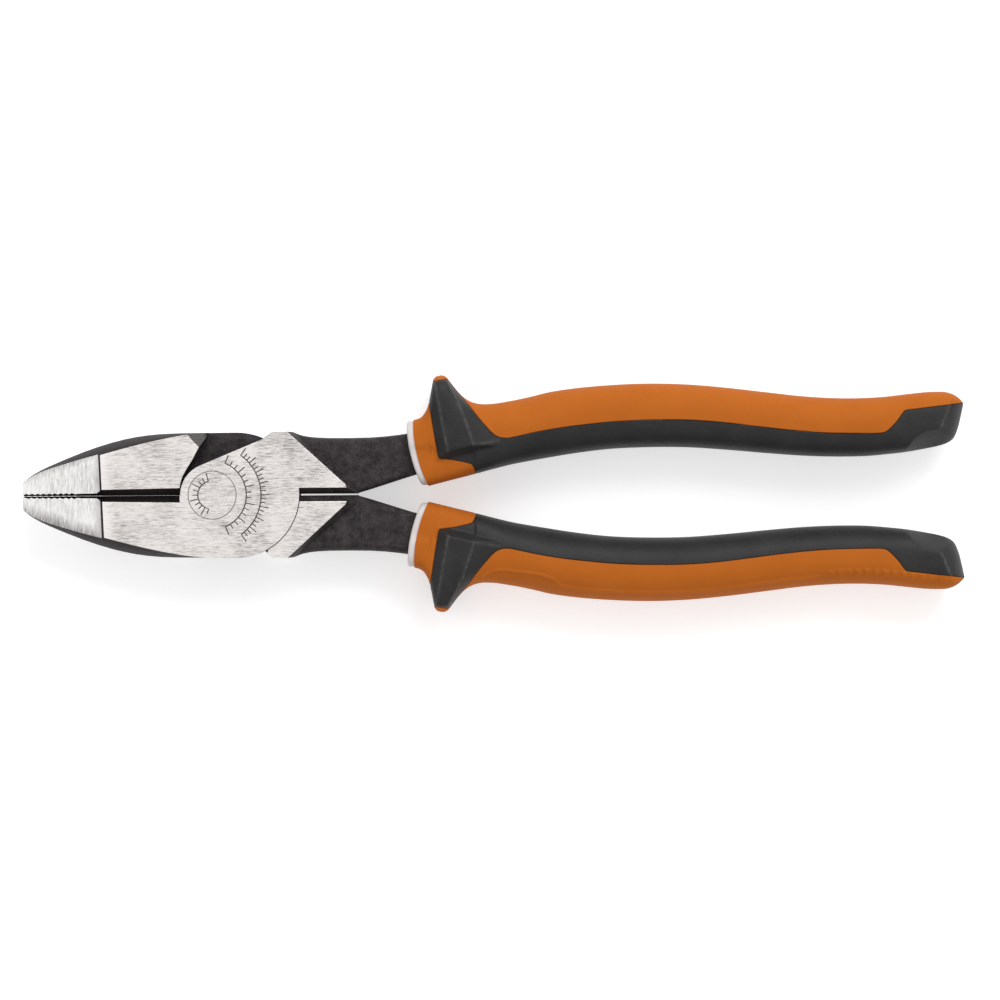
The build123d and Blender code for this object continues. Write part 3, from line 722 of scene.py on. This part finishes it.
def steel_for(normal, centre):
    """The steel of one face of the forgings or the rivet, from its normal and its centre in millimetres."""
    x, y, tilt = centre.x, abs(centre.y), abs(normal.z)
    from_lap = abs(centre.z - MID)
    if tilt > FLAT and abs(from_lap - MID) < LEVEL:
        return FACE_STEEL
    if tilt > 0.97 and from_lap > 4.0 and x < NOSE_X - 0.3:
        return NOSE_STEEL
    if tilt > FLAT and MARK_DEPTH[0] < MID - from_lap < MARK_DEPTH[1]:
        return FACET_STEEL
    if 0.6 < tilt < 0.8 and y > CORNER_Y and CORNER_X[0] < x < CORNER_X[1]:
        return FACET_STEEL
    if KNIFE_X[0] < x < KNIFE_X[1] and y < MOUTH_Y and 0.1 < tilt < 0.95:
        return KNIFE_STEEL
    if x < KNIFE_X[1] and y < MOUTH_Y:
        return MOUTH_STEEL
    if x < -1.0 and y > 3.0 and 0.02 < tilt < 0.6 and abs(normal.y) > 0.7:
        return FLANK_STEEL
    return OXIDE


for steel_node in ("front_half", "rear_half", "rivet"):
    steel_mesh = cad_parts[steel_node].data
    steel_mesh.materials.clear()
    for steel in STEELS:
        steel_mesh.materials.append(steel)
    for polygon in steel_mesh.polygons:
        polygon.material_index = STEELS.index(steel_for(polygon.normal, polygon.center / MM))

# ---- handles ----------------------------------------------------------------------------------------------
ORANGE = moulded(
    "orange_cover", (0.376, 0.097, 0.0105, 1), (0.412, 0.109, 0.0125, 1), roughness=0.62, ior=1.15,
    grain_scale=5200, grain_depth=0.00003,
)
GREY = moulded(
    "grey_grip", (0.0145, 0.0145, 0.0145, 1), (0.026, 0.0257, 0.0257, 1), roughness=0.50, ior=1.28,
    grain_scale=2600, grain_depth=0.00010, lighter_edge=(0.055, 0.054, 0.053, 1),
)
WHITE = moulded(
    "white_sleeve", (0.52, 0.48, 0.475, 1), (0.62, 0.58, 0.575, 1), roughness=0.5, ior=1.4,
    grain_scale=5200, grain_depth=0.00002, seam=False,
)

skin = handle_skin()
upper_grip = layer_from_skin("grip_upper", skin, 1)
upper_cover = layer_from_skin("cover_upper", skin, -1)
skin.free()
upper_sleeve = sleeve_piece("sleeve_upper")
for piece, name, node_layer, material, slot in (
    (upper_grip, "grip", "grip", GREY, "grey_grip"),
    (upper_cover, "cover", "cover", ORANGE, "orange_cover"),
    (upper_sleeve, "sleeve", "inner_sleeve", WHITE, "white_insulation"),
):
    piece.data.materials.append(material)
    lower = turned_copy(piece, name + "_lower")
    for handle, half, obj in (("upper", "front_lever", piece), ("lower", "rear_lever", lower)):
        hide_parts(f"{handle}_{node_layer}")
        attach(obj, half)

# ---- floor, light, camera ---------------------------------------------------------------------------------
FLOOR_GAP = 0.3 * MM  # below the lowest point of the tool
FLOOR_REACH = 3.0  # metres on each side
VIEW_WIDTH = 0.2514  # metres across the picture
VIEW_CENTRE = (0.07238, -0.00121)
VIEW_ROLL = math.radians(-0.38)
LENS = 200.0
SENSOR = 36.0
TOOL_CENTRE = (0.07, 0.0, 0.0)


def make_floor():
    """Plain pale floor with a faint glow of its own, so that shadows on it stay light."""
    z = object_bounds()[0].z - FLOOR_GAP
    far = FLOOR_REACH
    mesh = bpy.data.meshes.new("floor")
    mesh.from_pydata([(-far, -far, z), (far, -far, z), (far, far, z), (-far, far, z)], [], [(0, 1, 2, 3)])
    floor = bpy.data.objects.new("floor", mesh)
    bpy.context.scene.collection.objects.link(floor)
    s = Surface("pale_floor")
    tone = s.remap(s.noise(60, 4.0, 0.5), 0.3, 0.7, 0.0, 1.0)
    pale = s.mix(tone, (0.69, 0.69, 0.69, 1), (0.71, 0.71, 0.71, 1))
    mesh.materials.append(s.set(
        Base_Color=pale,
        Roughness=0.9,
        Specular_IOR_Level=0.1,
        Emission_Color=(1, 1, 1, 1),
        Emission_Strength=0.5,
    ))


def area_light(name, place, size, power):
    """Soft rectangular light, turned to the tool."""
    light = bpy.data.lights.new(name, "AREA")
    light.shape = "RECTANGLE"
    light.size, light.size_y = size
    light.energy = power
    obj = bpy.data.objects.new(name, light)
    bpy.context.scene.collection.objects.link(obj)
    obj.location = place
    obj.rotation_mode = "QUATERNION"
    obj.rotation_quaternion = (Vector(TOOL_CENTRE) - Vector(place)).to_track_quat("-Z", "Y")


def make_camera():
    """Straight above the front face, far off, turned a little so that the handle end sits high."""
    camera = bpy.data.cameras.new("camera")
    camera.lens = LENS
    camera.sensor_width = SENSOR
    obj = bpy.data.objects.new("camera", camera)
    bpy.context.scene.collection.objects.link(obj)
    across, along = VIEW_CENTRE
    obj.location = (
        across * math.cos(VIEW_ROLL) - along * math.sin(VIEW_ROLL),
        across * math.sin(VIEW_ROLL) + along * math.cos(VIEW_ROLL),
        HEAD_T * MM + VIEW_WIDTH * LENS / SENSOR,
    )
    obj.rotation_euler = (0, 0, VIEW_ROLL)
    bpy.context.scene.camera = obj


make_floor()
area_light("key", (0.35, 0.80, 0.95), (0.9, 0.6), 11.0)
area_light("top", (-0.15, 0.25, 2.0), (1.6, 1.2), 1.2)
make_camera()
world = bpy.data.worlds.new("studio")
bpy.context.scene.world = world
world.use_nodes = True
world.node_tree.nodes["Background"].inputs["Color"].default_value = (1, 1, 1, 1)
world.node_tree.nodes["Background"].inputs["Strength"].default_value = 0.75
bpy.context.scene.view_settings.view_transform = "Standard"
